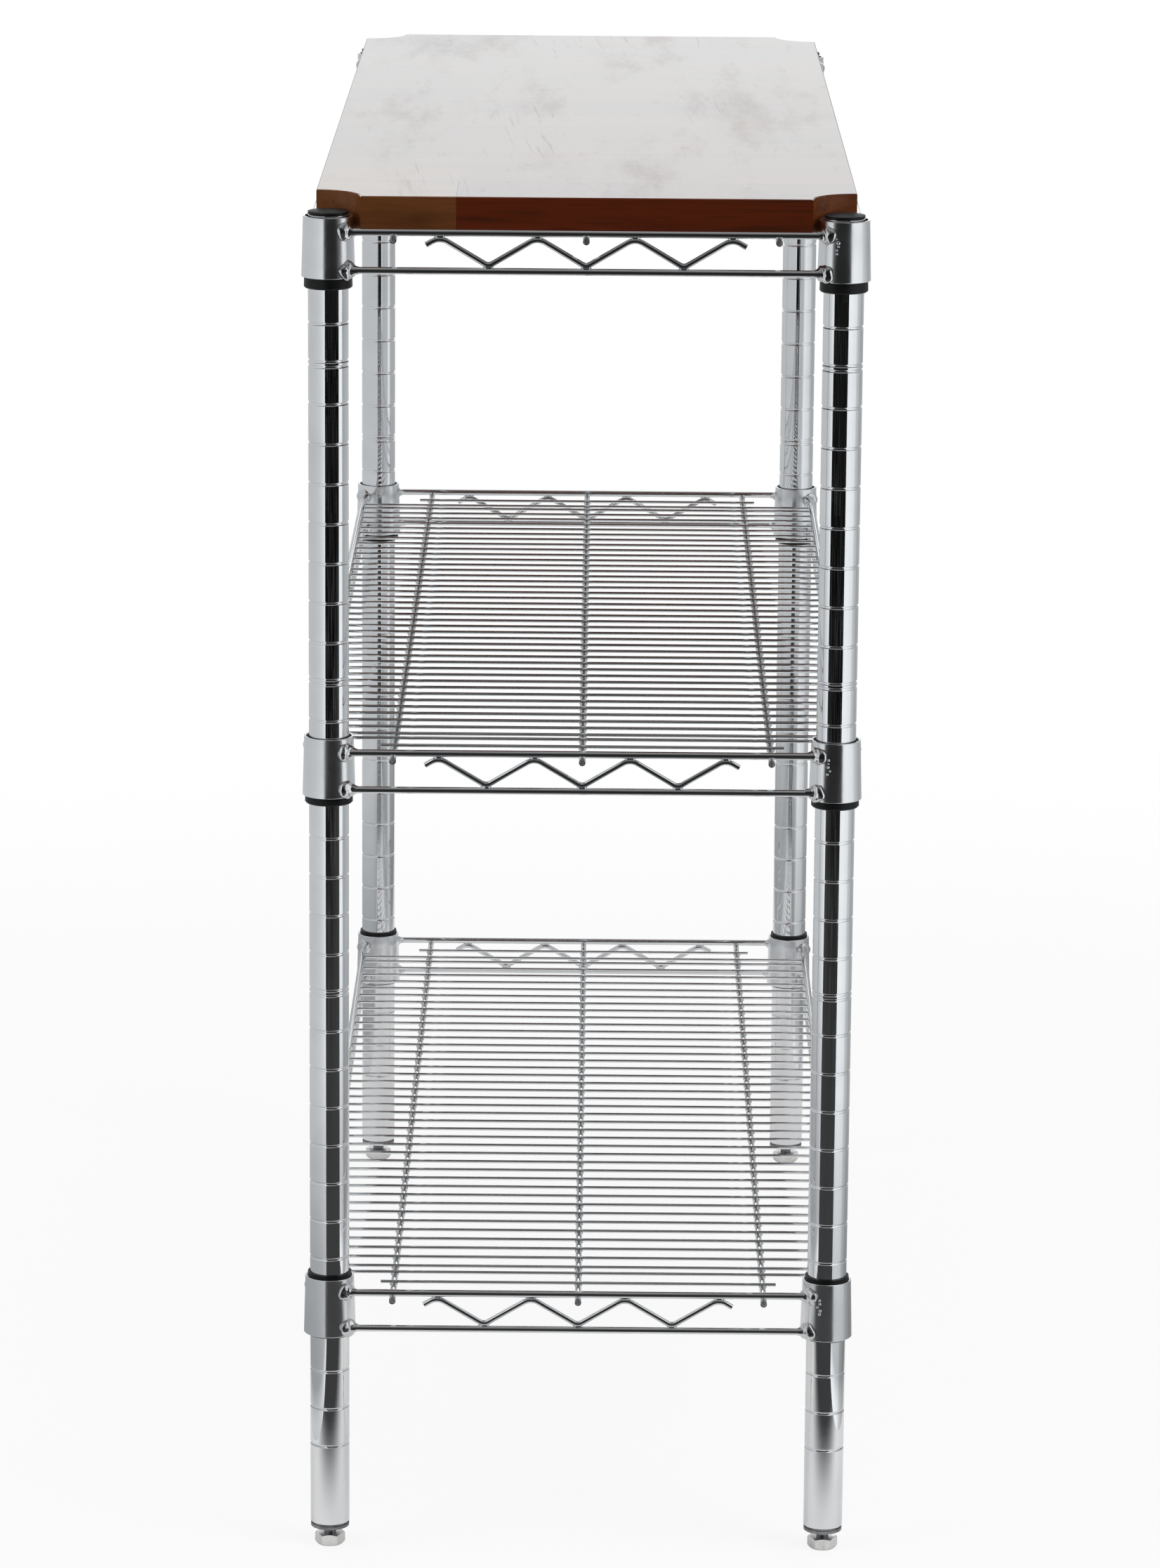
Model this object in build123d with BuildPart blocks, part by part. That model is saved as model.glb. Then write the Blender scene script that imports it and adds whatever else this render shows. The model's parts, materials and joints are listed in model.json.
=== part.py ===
from build123d import *
import os
from math import asin, atan2, cos, hypot, radians, tan

# A stationary kitchen island: three welded wire shelves on four grooved posts, with a loose wooden board.
# X runs across the table, Y along it, Z up, and the floor is at Z = 0.

os.makedirs("parts", exist_ok=True)

# Post centres
post_spacing_x = 322.0
post_spacing_y = 882.0

# Posts: tube with rolled rings at an even pitch, some of them double
post_diameter = 25.4
post_wall = 1.2
post_length = 859.0
post_end_chamfer = 0.5
ring_pitch = 25.4
ring_lowest = 54.3
ring_end_margin = 14.0
ring_width = 2.2
ring_depth = 0.6
double_ring_first = 4
double_ring_every = 8
double_ring_gap = 3.3

# Caps in the upper post ends
cap_rim_height = 1.6
cap_dome_height = 1.2
cap_plug_length = 16.0

# Tapped plugs in the lower post ends
plug_length = 26.0
plug_neck_height = 1.0
plug_neck_inset = 0.8
plug_flange_height = 2.0
plug_flange_inset = 0.2
plug_fit = 0.1

# Levelling feet: a stud and a hexagonal glide
stud_diameter = 9.5
stud_length = 44.0
stud_chamfer = 1.0
stud_gap = 0.3
stud_shown = 5.0
glide_across_flats = 17.0
glide_height = 7.5
glide_corner_bevel = 30.0
glide_sole_inset = 1.6
glide_sole_height = 1.4

# Split sleeves: outside tapered, a rib inside for one ring of the post
sleeve_below_ring = 29.0
sleeve_above_ring = 13.0
sleeve_foot_radius = 15.3
sleeve_taper = 0.0288
sleeve_fit = 0.1
sleeve_split = 0.4
sleeve_foot_chamfer = 0.8
rib_tip_width = 0.6
rib_root_width = 1.4
rib_gap = 0.25

# Corner collars of the shelves
collar_height = 38.2
collar_wall = 1.4
collar_gap = 0.25
collar_seat = 5.2
collar_rim_round = 0.4

# Wires of a shelf
rod_outset = 11.1
top_rod_diameter = 4.6
top_rod_below_rim = 8.9
bottom_rod_diameter = 4.4
rod_drop = 24.0
weld_gap = 0.1
support_diameter = 4.2
support_spacing = 120.0
support_overhang = 4.0
cross_diameter = 2.2
cross_pitch = 20.0
cross_close_step = 13.4
short_cross_step = 21.0
short_cross_to_rod = 27.7
short_cross_overhang = 8.5

# Zigzag wires between the upper and lower rods
zigzag_diameter = 3.6
zigzag_wave = 60.8
zigzag_tail = 8.4
zigzag_post_clear = 35.0
zigzag_crest_radius = 9.0
zigzag_valley_radius = 5.0

# Board, glued up from rows of staves that run across the table
board_thickness = 22.0
board_row_count = 13
board_joint_to_middle = 81.0
glue_gap = 0.1
board_side_gap = 0.55
board_seat_gap = 0.2
board_notch_gap = 1.0
board_edge_chamfer = 0.6

# As many rings as the posts have room for
ring_count = int((post_length - ring_lowest - ring_end_margin) / ring_pitch) + 1

# Shelves: the ring that each one's sleeves sit in, whether they take the upper ring of a double one,
# and how far its collars stand above the sleeves' lower ends
shelves = {
    "lower": (4, True, 1.2),
    "middle": (18, False, 5.2),
    "top": (ring_count - 1, False, 7.0),
}

# Post centres by name, front being the end nearest the viewer
corners = {
    "front_left": (-post_spacing_x / 2, -post_spacing_y / 2),
    "front_right": (post_spacing_x / 2, -post_spacing_y / 2),
    "rear_left": (-post_spacing_x / 2, post_spacing_y / 2),
    "rear_right": (post_spacing_x / 2, post_spacing_y / 2),
}

# Radii and heights that follow from the sizes above
post_radius = post_diameter / 2
post_bore_radius = post_radius - post_wall
plug_drop = plug_neck_height + plug_flange_height
post_base = glide_height + stud_shown + plug_drop
post_top = post_base + post_length
sleeve_length = sleeve_below_ring + sleeve_above_ring
sleeve_bore_radius = post_radius + sleeve_fit
rib_tip_radius = post_radius - ring_depth + rib_gap
collar_bore_foot = sleeve_foot_radius - sleeve_taper * collar_seat + collar_gap
collar_foot_radius = collar_bore_foot + collar_wall
top_rod_radius = top_rod_diameter / 2
bottom_rod_radius = bottom_rod_diameter / 2
rod_x = post_spacing_x / 2 + rod_outset
rod_y = post_spacing_y / 2 + rod_outset
stud_bore_radius = stud_diameter / 2 + stud_gap


def ring_height(index):
    """Height above the floor of a ring of the posts, counted from the lowest."""
    return post_base + ring_lowest + index * ring_pitch


def sleeve_ring(shelf):
    """Height above the floor of the ring that holds a shelf's sleeves."""
    index, upper_of_double, _ = shelves[shelf]
    return ring_height(index) + (double_ring_gap / 2 if upper_of_double else 0)


def collar_foot(shelf):
    """Height above the floor of the lower ends of a shelf's collars."""
    return sleeve_ring(shelf) - sleeve_below_ring + shelves[shelf][2]


def top_rod_height(shelf):
    """Height above the floor of the axes of a shelf's upper rods."""
    return collar_foot(shelf) + collar_height - top_rod_below_rim


def upright(x, y, z):
    """Plane through a vertical axis, with its own x outwards and its own y up."""
    return Plane(origin=(x, y, z), x_dir=(1, 0, 0), z_dir=(0, -1, 0))


def vertical(x, y):
    """Vertical axis through a point of the floor."""
    return Axis((x, y, 0), (0, 0, 1))


def save(part, name):
    """Label a finished piece and write it to its own file."""
    part.label = name
    export_step(part, f"parts/{name}.step")


def ring_centres():
    """Heights of all ring grooves above the post's lower end, double ones as two."""
    heights = []
    for index in range(ring_count):
        height = ring_lowest + index * ring_pitch
        if index % double_ring_every == double_ring_first:
            heights += [height - double_ring_gap / 2, height + double_ring_gap / 2]
        else:
            heights.append(height)
    return heights


def make_post(name, x, y):
    """Grooved tube, open at both ends."""
    with BuildPart() as post:
        with BuildSketch(upright(x, y, post_base)):
            with BuildLine():
                reached = (post_radius, post_end_chamfer)
                Polyline((post_bore_radius, 0), (post_radius - post_end_chamfer, 0), reached)
                for centre in ring_centres():
                    below = (post_radius, centre - ring_width / 2)
                    above = (post_radius, centre + ring_width / 2)
                    Line(reached, below)
                    ThreePointArc(below, (post_radius - ring_depth, centre), above)
                    reached = above
                Polyline(
                    reached,
                    (post_radius, post_length - post_end_chamfer),
                    (post_radius - post_end_chamfer, post_length),
                    (post_bore_radius, post_length),
                    (post_bore_radius, 0),
                )
            make_face()
        revolve(axis=vertical(x, y))
    save(post.part, f"{name}_post")


def make_cap(name, x, y):
    """Domed plug that rests on the post's upper end."""
    plug_radius = post_bore_radius - plug_fit
    dome_base = (post_radius, cap_rim_height)
    dome_top = (0, cap_rim_height + cap_dome_height)
    with BuildPart() as cap:
        with BuildSketch(upright(x, y, post_top)):
            with BuildLine():
                Polyline(
                    dome_top,
                    (0, -cap_plug_length),
                    (plug_radius, -cap_plug_length),
                    (plug_radius, 0),
                    (post_radius, 0),
                    dome_base,
                )
                dome_radius = (post_radius**2 + cap_dome_height**2) / (2 * cap_dome_height)
                RadiusArc(dome_base, dome_top, -dome_radius)
            make_face()
        revolve(axis=vertical(x, y))
    save(cap.part, f"{name}_post_cap")


def make_tapped_plug(name, x, y):
    """Insert in the post's lower end, with a necked flange under the tube and a bore for the stud."""
    plug_radius = post_bore_radius - plug_fit
    neck_radius = post_radius - plug_neck_inset
    flange_radius = post_radius - plug_flange_inset
    with BuildPart() as plug:
        with BuildSketch(upright(x, y, post_base)):
            Polygon(
                (stud_bore_radius, plug_length),
                (plug_radius, plug_length),
                (plug_radius, 0),
                (neck_radius, 0),
                (neck_radius, -plug_neck_height),
                (flange_radius, -plug_neck_height),
                (flange_radius, -plug_drop),
                (stud_bore_radius, -plug_drop),
                align=None,
            )
        revolve(axis=vertical(x, y))
    save(plug.part, f"{name}_tapped_plug")


def make_foot(name, x, y):
    """Stud and hexagonal glide of one levelling foot."""
    with BuildPart() as stud:
        with BuildSketch(Plane((x, y, glide_height))):
            Circle(stud_diameter / 2)
        extrude(amount=stud_length)
        chamfer(stud.edges().sort_by(Axis.Z)[-1], stud_chamfer)
    save(stud.part, f"{name}_foot_stud")

    corner_radius = glide_across_flats / 2 / cos(radians(30))
    flat_radius = glide_across_flats / 2
    bevel_drop = (corner_radius - flat_radius) * tan(radians(glide_corner_bevel))
    with BuildPart() as glide:
        with BuildSketch(Plane((x, y, 0))):
            RegularPolygon(corner_radius, 6)
        extrude(amount=glide_height)
        with BuildSketch(upright(x, y, 0)):
            Polygon(
                (0, 0),
                (corner_radius - glide_sole_inset, 0),
                (corner_radius, glide_sole_height),
                (corner_radius, glide_height - bevel_drop),
                (flat_radius, glide_height),
                (0, glide_height),
                align=None,
            )
        revolve(axis=vertical(x, y), mode=Mode.INTERSECT)
    save(glide.part, f"{name}_foot_glide")


def make_sleeve(shelf, name, x, y):
    """Tapered sleeve at one corner of a shelf, split into two halves."""
    base = sleeve_ring(shelf) - sleeve_below_ring
    with BuildPart() as sleeve:
        with BuildSketch(upright(x, y, base)):
            Polygon(
                (sleeve_bore_radius, 0),
                (sleeve_foot_radius - sleeve_foot_chamfer, 0),
                (sleeve_foot_radius - sleeve_taper * sleeve_foot_chamfer, sleeve_foot_chamfer),
                (sleeve_foot_radius - sleeve_taper * sleeve_length, sleeve_length),
                (sleeve_bore_radius, sleeve_length),
                (sleeve_bore_radius, sleeve_below_ring + rib_root_width / 2),
                (rib_tip_radius, sleeve_below_ring + rib_tip_width / 2),
                (rib_tip_radius, sleeve_below_ring - rib_tip_width / 2),
                (sleeve_bore_radius, sleeve_below_ring - rib_root_width / 2),
                align=None,
            )
        revolve(axis=vertical(x, y))
        with BuildSketch(Plane.XY.offset(base)):
            with Locations((x, y)):
                Rectangle(3 * sleeve_foot_radius, sleeve_split)
        extrude(amount=sleeve_length, mode=Mode.SUBTRACT)
    save(sleeve.part, f"{shelf}_shelf_{name}_sleeve")


def make_collar(shelf, name, x, y):
    """Tapered tube at one corner of a shelf."""
    taper = sleeve_taper * collar_height
    with BuildPart() as collar:
        with BuildSketch(upright(x, y, collar_foot(shelf))):
            Polygon(
                (collar_bore_foot, 0),
                (collar_foot_radius, 0),
                (collar_foot_radius - taper, collar_height),
                (collar_bore_foot - taper, collar_height),
                align=None,
            )
        revolve(axis=vertical(x, y))
        fillet(collar.edges().filter_by(GeomType.CIRCLE), collar_rim_round)
    save(collar.part, f"{shelf}_shelf_{name}_collar")


def make_rods(shelf):
    """Four upper and four lower rods of one shelf, coped to the collars that they are welded to."""
    upper = top_rod_height(shelf)
    with BuildPart() as rods:
        for height, radius in ((upper, top_rod_radius), (upper - rod_drop, bottom_rod_radius)):
            with BuildSketch(Plane.YZ.offset(-post_spacing_x / 2)):
                with Locations((-rod_y, height), (rod_y, height)):
                    Circle(radius)
            extrude(amount=post_spacing_x)
            with BuildSketch(Plane.XZ.offset(-post_spacing_y / 2)):
                with Locations((-rod_x, height), (rod_x, height)):
                    Circle(radius)
            extrude(amount=post_spacing_y)
        for x, y in corners.values():
            with BuildSketch(upright(x, y, collar_foot(shelf))):
                Polygon(
                    (0, 0),
                    (collar_foot_radius + weld_gap, 0),
                    (collar_foot_radius + weld_gap - sleeve_taper * collar_height, collar_height),
                    (0, collar_height),
                    align=None,
                )
            revolve(axis=vertical(x, y), mode=Mode.SUBTRACT)
    save(rods.part, f"{shelf}_shelf_rods")


def zigzag_route(spacing, crest, valley):
    """Corner points and bend radii of a zigzag wire: distance along the rods and height of its axis."""
    free = spacing - 2 * (zigzag_post_clear + zigzag_tail)
    waves = 2 * int((free / zigzag_wave - 1) / 2) + 1
    half_wave = zigzag_wave / 2
    bends = zigzag_crest_radius + zigzag_valley_radius
    rise = crest - valley
    slope = asin(bends / hypot(half_wave, bends - rise)) - atan2(bends - rise, half_wave)
    crest_corner = crest + zigzag_crest_radius * (1 / cos(slope) - 1)
    valley_corner = valley - zigzag_valley_radius * (1 / cos(slope) - 1)
    first = -waves * half_wave
    tail_end = crest_corner - zigzag_tail * tan(slope)
    points = [(first - zigzag_tail, tail_end)]
    radii = []
    for step in range(2 * waves + 1):
        at_crest = step % 2 == 0
        points.append((first + step * half_wave, crest_corner if at_crest else valley_corner))
        radii.append(zigzag_crest_radius if at_crest else zigzag_valley_radius)
    points.append((-first + zigzag_tail, tail_end))
    return points, radii


def make_zigzags(shelf):
    """Four zigzag wires of one shelf, one at each end and each side."""
    upper = top_rod_height(shelf)
    crest = upper - top_rod_radius - weld_gap - zigzag_diameter / 2
    valley = upper - rod_drop + bottom_rod_radius + weld_gap + zigzag_diameter / 2
    with BuildPart() as zigzags:
        for side in (-1, 1):
            end_plane = Plane(origin=(0, side * rod_y, 0), x_dir=(1, 0, 0), z_dir=(0, -1, 0))
            side_plane = Plane(origin=(side * rod_x, 0, 0), x_dir=(0, 1, 0), z_dir=(1, 0, 0))
            for plane, spacing in ((end_plane, post_spacing_x), (side_plane, post_spacing_y)):
                points, radii = zigzag_route(spacing, crest, valley)
                with BuildLine(plane) as route:
                    FilletPolyline(*points, radius=radii)
                with BuildSketch(Plane(origin=route.line @ 0, z_dir=route.line % 0)):
                    Circle(zigzag_diameter / 2)
                sweep()
    save(zigzags.part, f"{shelf}_shelf_zigzags")


def make_support_wires(shelf):
    """Lengthwise wires under the end rods and the cross wires."""
    height = top_rod_height(shelf) - top_rod_radius - weld_gap - support_diameter / 2
    reach = rod_y + support_overhang
    with BuildPart() as supports:
        with BuildSketch(Plane.XZ.offset(-reach)):
            with Locations((-support_spacing, height), (0, height), (support_spacing, height)):
                Circle(support_diameter / 2)
        extrude(amount=2 * reach)
    save(supports.part, f"{shelf}_shelf_support_wires")


def make_cross_wires(shelf):
    """Thin wires between the side rods, with a close pair and a short wire at each end."""
    height = top_rod_height(shelf) - top_rod_radius + cross_diameter / 2
    short_y = rod_y - short_cross_to_rod
    outer_y = short_y - short_cross_step
    inner_y = outer_y - cross_close_step
    steps = round(2 * inner_y / cross_pitch)
    full_ys = [-inner_y + 2 * inner_y * step / steps for step in range(steps + 1)]
    full_ys += [-outer_y, outer_y]
    full_half = rod_x - top_rod_radius - weld_gap
    short_half = support_spacing + short_cross_overhang
    with BuildPart() as wires:
        with BuildSketch(Plane.YZ.offset(-full_half)):
            with Locations(*[(y, height) for y in full_ys]):
                Circle(cross_diameter / 2)
        extrude(amount=2 * full_half)
        with BuildSketch(Plane.YZ.offset(-short_half)):
            with Locations((-short_y, height), (short_y, height)):
                Circle(cross_diameter / 2)
        extrude(amount=2 * short_half)
    save(wires.part, f"{shelf}_shelf_cross_wires")


def make_board():
    """Wooden board between the rods of the top shelf, notched round the four collars, as glued staves."""
    half_x = rod_x - top_rod_radius - board_side_gap
    half_y = rod_y - top_rod_radius - board_side_gap
    upper = top_rod_height("top")
    underside = upper - top_rod_radius + cross_diameter + board_seat_gap
    collar_radius = collar_foot_radius - sleeve_taper * (underside - collar_foot("top"))
    corner_to_post = hypot(half_x - post_spacing_x / 2, half_y - post_spacing_y / 2)
    notch_radius = corner_to_post + collar_radius + board_notch_gap
    row_width = 2 * half_y / board_row_count
    end_row = half_y - row_width / 2
    with BuildPart() as board:
        with BuildSketch(Plane.XY.offset(underside)):
            Rectangle(2 * half_x, 2 * half_y)
            with GridLocations(2 * half_x, 2 * half_y, 2, 2):
                Circle(notch_radius, mode=Mode.SUBTRACT)
        extrude(amount=board_thickness)
        chamfer(board.faces().sort_by(Axis.Z)[-1].edges(), board_edge_chamfer)
        with BuildSketch(Plane.XY.offset(underside)):
            with Locations(*[(0, row * row_width - half_y) for row in range(1, board_row_count)]):
                Rectangle(2 * half_x, glue_gap)
            with Locations((-board_joint_to_middle, -end_row), (board_joint_to_middle, end_row)):
                Rectangle(glue_gap, row_width)
        extrude(amount=board_thickness, mode=Mode.SUBTRACT)
    staves = board.part.solids().sort_by(Axis.Y)
    with BuildPart() as end_staves:
        add(staves[:2] + staves[-2:])
    save(end_staves.part, "board_end_staves")
    with BuildPart() as middle_staves:
        add(staves[2:-2])
    save(middle_staves.part, "board_middle_staves")


for corner, (post_x, post_y) in corners.items():
    make_post(corner, post_x, post_y)
    make_cap(corner, post_x, post_y)
    make_tapped_plug(corner, post_x, post_y)
    make_foot(corner, post_x, post_y)

for shelf_name in shelves:
    for corner, (post_x, post_y) in corners.items():
        make_sleeve(shelf_name, corner, post_x, post_y)
        make_collar(shelf_name, corner, post_x, post_y)
    make_rods(shelf_name)
    make_zigzags(shelf_name)
    make_support_wires(shelf_name)
    make_cross_wires(shelf_name)

make_board()
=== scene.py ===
"""Looks of a chrome wire-shelf kitchen island with a dark lacquered wooden top."""

import json
import logging
import math
from dataclasses import dataclass, field
from enum import Enum

import bmesh
import bpy
from mathutils import Matrix, Vector, noise


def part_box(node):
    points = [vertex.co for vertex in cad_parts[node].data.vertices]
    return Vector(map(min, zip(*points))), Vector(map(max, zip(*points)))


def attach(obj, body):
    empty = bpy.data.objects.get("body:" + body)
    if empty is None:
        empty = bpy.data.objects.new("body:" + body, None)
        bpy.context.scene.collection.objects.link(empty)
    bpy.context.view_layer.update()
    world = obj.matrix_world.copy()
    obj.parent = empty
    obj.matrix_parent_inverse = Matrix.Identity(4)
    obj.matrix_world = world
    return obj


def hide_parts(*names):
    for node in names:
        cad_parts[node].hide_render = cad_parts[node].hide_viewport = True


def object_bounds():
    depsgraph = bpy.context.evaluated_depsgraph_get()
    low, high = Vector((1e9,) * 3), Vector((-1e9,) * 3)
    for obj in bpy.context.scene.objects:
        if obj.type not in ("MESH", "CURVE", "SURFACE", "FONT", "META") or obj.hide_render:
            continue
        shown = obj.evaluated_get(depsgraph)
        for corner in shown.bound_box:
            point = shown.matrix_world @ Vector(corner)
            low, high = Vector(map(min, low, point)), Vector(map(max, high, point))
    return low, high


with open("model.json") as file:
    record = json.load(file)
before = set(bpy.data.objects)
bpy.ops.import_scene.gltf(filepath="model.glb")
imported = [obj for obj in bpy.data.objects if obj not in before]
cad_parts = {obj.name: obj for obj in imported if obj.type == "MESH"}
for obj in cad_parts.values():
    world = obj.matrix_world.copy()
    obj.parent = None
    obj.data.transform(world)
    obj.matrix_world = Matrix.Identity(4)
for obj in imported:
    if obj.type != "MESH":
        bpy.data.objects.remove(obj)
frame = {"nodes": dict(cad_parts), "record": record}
CAD_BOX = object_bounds()

log = logging.getLogger("wire_island")

Colour = tuple[float, float, float]
Triple = tuple[float, float, float]
Span = tuple[float, float]
Socket = bpy.types.NodeSocket

MM = 0.001
IMAGE_WIDTH = 1652
UP = Vector((0.0, 0.0, 1.0))
WHITE = (1.0, 1.0, 1.0, 1.0)


class Shelf(Enum):
    """The three wire shelves, from the floor up."""

    LOWER = "lower_shelf"
    MIDDLE = "middle_shelf"
    TOP = "top_shelf"


class Corner(Enum):
    """The four posts, front being the end nearest the camera."""

    FRONT_LEFT = "front_left"
    FRONT_RIGHT = "front_right"
    REAR_LEFT = "rear_left"
    REAR_RIGHT = "rear_right"


class NodeBench:
    """Small helper that adds and links nodes in one node tree."""

    def __init__(self, tree: bpy.types.NodeTree) -> None:
        """Keep the tree to work on.

        Args:
            tree: the node tree.
        """
        self.tree = tree

    def feed(self, target: Socket, value: object) -> None:
        """Link a socket to an input, or set the input's value.

        Args:
            target: the input.
            value: a socket, or what the input's value becomes.
        """
        if isinstance(value, Socket):
            self.tree.links.new(value, target)
        else:
            target.default_value = value

    def feed_all(self, node: bpy.types.Node, inputs: dict[str, object]) -> None:
        """Feed several inputs of a node.

        Args:
            node: the node.
            inputs: sockets or values by input name.
        """
        for name, value in inputs.items():
            self.feed(node.inputs[name], value)

    def add(
        self, kind: str, inputs: dict[str, object] | None = None, **settings: object
    ) -> bpy.types.Node:
        """Add a node.

        Args:
            kind: Blender's node type name.
            inputs: sockets or values by input name.
            settings: the node's properties to set.

        Returns:
            The new node.
        """
        node = self.tree.nodes.new(kind)
        for key, value in settings.items():
            setattr(node, key, value)
        self.feed_all(node, inputs or {})
        return node

    def math(self, operation: str, first: object, second: object = 0.0) -> Socket:
        """Add a math node.

        Args:
            operation: the math node's operation.
            first: a socket or a number.
            second: a socket or a number.

        Returns:
            The result's socket.
        """
        node = self.add("ShaderNodeMath", operation=operation)
        self.feed(node.inputs[0], first)
        self.feed(node.inputs[1], second)
        return node.outputs[0]

    def invert(self, value: Socket) -> Socket:
        """Take a mask from 1.

        Args:
            value: the mask.

        Returns:
            The opposite mask.
        """
        return self.math("SUBTRACT", 1.0, value)

    def ramp(self, value: Socket, span: Span, out: Span = (0.0, 1.0)) -> Socket:
        """Map a value smoothly from one range to another.

        Args:
            value: the socket to map.
            span: start and end of the input range.
            out: the two ends of the output range.

        Returns:
            The mapped socket.
        """
        node = self.add("ShaderNodeMapRange", {
            "Value": value,
            "From Min": span[0], "From Max": span[1],
            "To Min": out[0], "To Max": out[1],
        }, interpolation_type="SMOOTHSTEP")
        return node.outputs["Result"]

    def blend(self, mask: Socket, first: object, second: object) -> Socket:
        """Mix two colours by a mask.

        Args:
            mask: the factor's socket.
            first: colour or socket where the mask is 0.
            second: colour or socket where the mask is 1.

        Returns:
            The mixed colour's socket.
        """
        node = self.add("ShaderNodeMix", {"Factor": mask}, data_type="RGBA")
        for target, value in ((node.inputs[6], first), (node.inputs[7], second)):
            self.feed(target, value if isinstance(value, Socket) else (*value, 1.0))
        return node.outputs[2]

    def place(self, kind: str = "Object") -> Socket:
        """Add texture coordinates.

        Args:
            kind: the output's name.

        Returns:
            The coordinates' socket.
        """
        return self.add("ShaderNodeTexCoord").outputs[kind]

    def split(self, vector: Socket) -> dict[str, Socket]:
        """Take a vector apart.

        Args:
            vector: the vector.

        Returns:
            Its parts by axis name.
        """
        node = self.add("ShaderNodeSeparateXYZ", {"Vector": vector})
        return {axis: node.outputs[axis] for axis in "XYZ"}

    def stretch(self, vector: Socket, scale: Triple) -> Socket:
        """Scale coordinates along their axes.

        Args:
            vector: the coordinates.
            scale: factor for each axis.

        Returns:
            The scaled coordinates.
        """
        return self.add("ShaderNodeMapping", {"Vector": vector, "Scale": scale}).outputs["Vector"]

    def noise(self, vector: Socket, scale: object, **more: object) -> Socket:
        """Add a noise texture.

        Args:
            vector: where it is read.
            scale: a socket or a number.
            more: further inputs by name. With w the noise has four dimensions.

        Returns:
            The noise's value.
        """
        inputs = {"Vector": vector, "Scale": scale}
        inputs.update((name.title(), value) for name, value in more.items())
        dimensions = "4D" if "w" in more else "3D"
        node = self.add("ShaderNodeTexNoise", inputs, noise_dimensions=dimensions)
        return node.outputs["Fac"]

    def bump(self, height: Socket, strength: float, distance: float) -> Socket:
        """Add a bump node.

        Args:
            height: the height to follow.
            strength: how much of it shows.
            distance: its full height in metres.

        Returns:
            The normal's socket.
        """
        inputs = {"Height": height, "Strength": strength, "Distance": distance}
        return self.add("ShaderNodeBump", inputs).outputs["Normal"]


@dataclass(frozen=True)
class Cloud:
    """Layer of cloudy noise, and the range of it that shows."""

    scale: float
    detail: float
    shown: Span
    weight: Span = (0.0, 1.0)

    def value(self, bench: NodeBench, vector: Socket, **more: object) -> Socket:
        """Add the noise alone.

        Args:
            bench: the bench to work on.
            vector: where the noise is read.
            more: further inputs by name.

        Returns:
            The noise's value.
        """
        return bench.noise(vector, self.scale, detail=self.detail, **more)

    def mask(self, bench: NodeBench, vector: Socket, **more: object) -> Socket:
        """Add the noise and keep the range that shows.

        Args:
            bench: the bench to work on.
            vector: where the noise is read.
            more: further inputs by name.

        Returns:
            The mask.
        """
        return bench.ramp(self.value(bench, vector, **more), self.shown, self.weight)


@dataclass(frozen=True)
class EffectGroup:
    """A shader group that is built once and then shared."""

    name: str
    inlets: tuple[str, ...]
    outlets: tuple[str, ...]

    def tree(self) -> bpy.types.NodeTree:
        """Find the group or build it.

        Returns:
            The group's node tree.
        """
        tree = bpy.data.node_groups.get(self.name)
        if tree:
            return tree
        tree = bpy.data.node_groups.new(self.name, "ShaderNodeTree")
        for way, names in (("INPUT", self.inlets), ("OUTPUT", self.outlets)):
            for name in names:
                tree.interface.new_socket(name, in_out=way, socket_type="NodeSocketFloat")
        bench = NodeBench(tree)
        results = self.effect(bench, bench.add("NodeGroupInput"))
        bench.add("NodeGroupOutput", results)
        return tree

    def effect(self, bench: NodeBench, inlet: bpy.types.Node) -> dict[str, Socket]:
        """Build what the group shows.

        Args:
            bench: the group's bench.
            inlet: the group's input node.

        Returns:
            The results by outlet name.
        """
        raise NotImplementedError

    def use(self, bench: NodeBench, **inputs: float) -> bpy.types.Node:
        """Put the group into a material.

        Args:
            bench: the material's bench.
            inputs: the group's inputs by name.

        Returns:
            The group node.
        """
        node = bench.add("ShaderNodeGroup", node_tree=self.tree())
        bench.feed_all(node, {name.title(): value for name, value in inputs.items()})
        return node


@dataclass(frozen=True)
class SmudgeGroup(EffectGroup):
    """Finger marks and uneven polish, shared by every finish. Scale is in marks per metre."""

    name: str = "handling_smudges"
    inlets: tuple[str, ...] = ("Scale", "Contrast")
    outlets: tuple[str, ...] = ("Mask", "Height")
    detail: float = 4.0
    distortion: float = 0.8
    fineness: float = 9.0

    def effect(self, bench: NodeBench, inlet: bpy.types.Node) -> dict[str, Socket]:
        """Build the marks.

        Args:
            bench: the group's bench.
            inlet: the group's input node.

        Returns:
            The marks' mask and a fine height.
        """
        place = bench.place()
        scale = inlet.outputs["Scale"]
        broad = bench.noise(place, scale, detail=self.detail, distortion=self.distortion)
        fine = bench.noise(place, bench.math("MULTIPLY", scale, self.fineness), detail=2.0)
        centred = bench.math("SUBTRACT", broad, 0.5)
        pushed = bench.math("MULTIPLY", centred, inlet.outputs["Contrast"])
        mask = bench.add("ShaderNodeClamp", {"Value": bench.math("ADD", pushed, 0.5)})
        return {"Mask": mask.outputs["Result"], "Height": fine}


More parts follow.
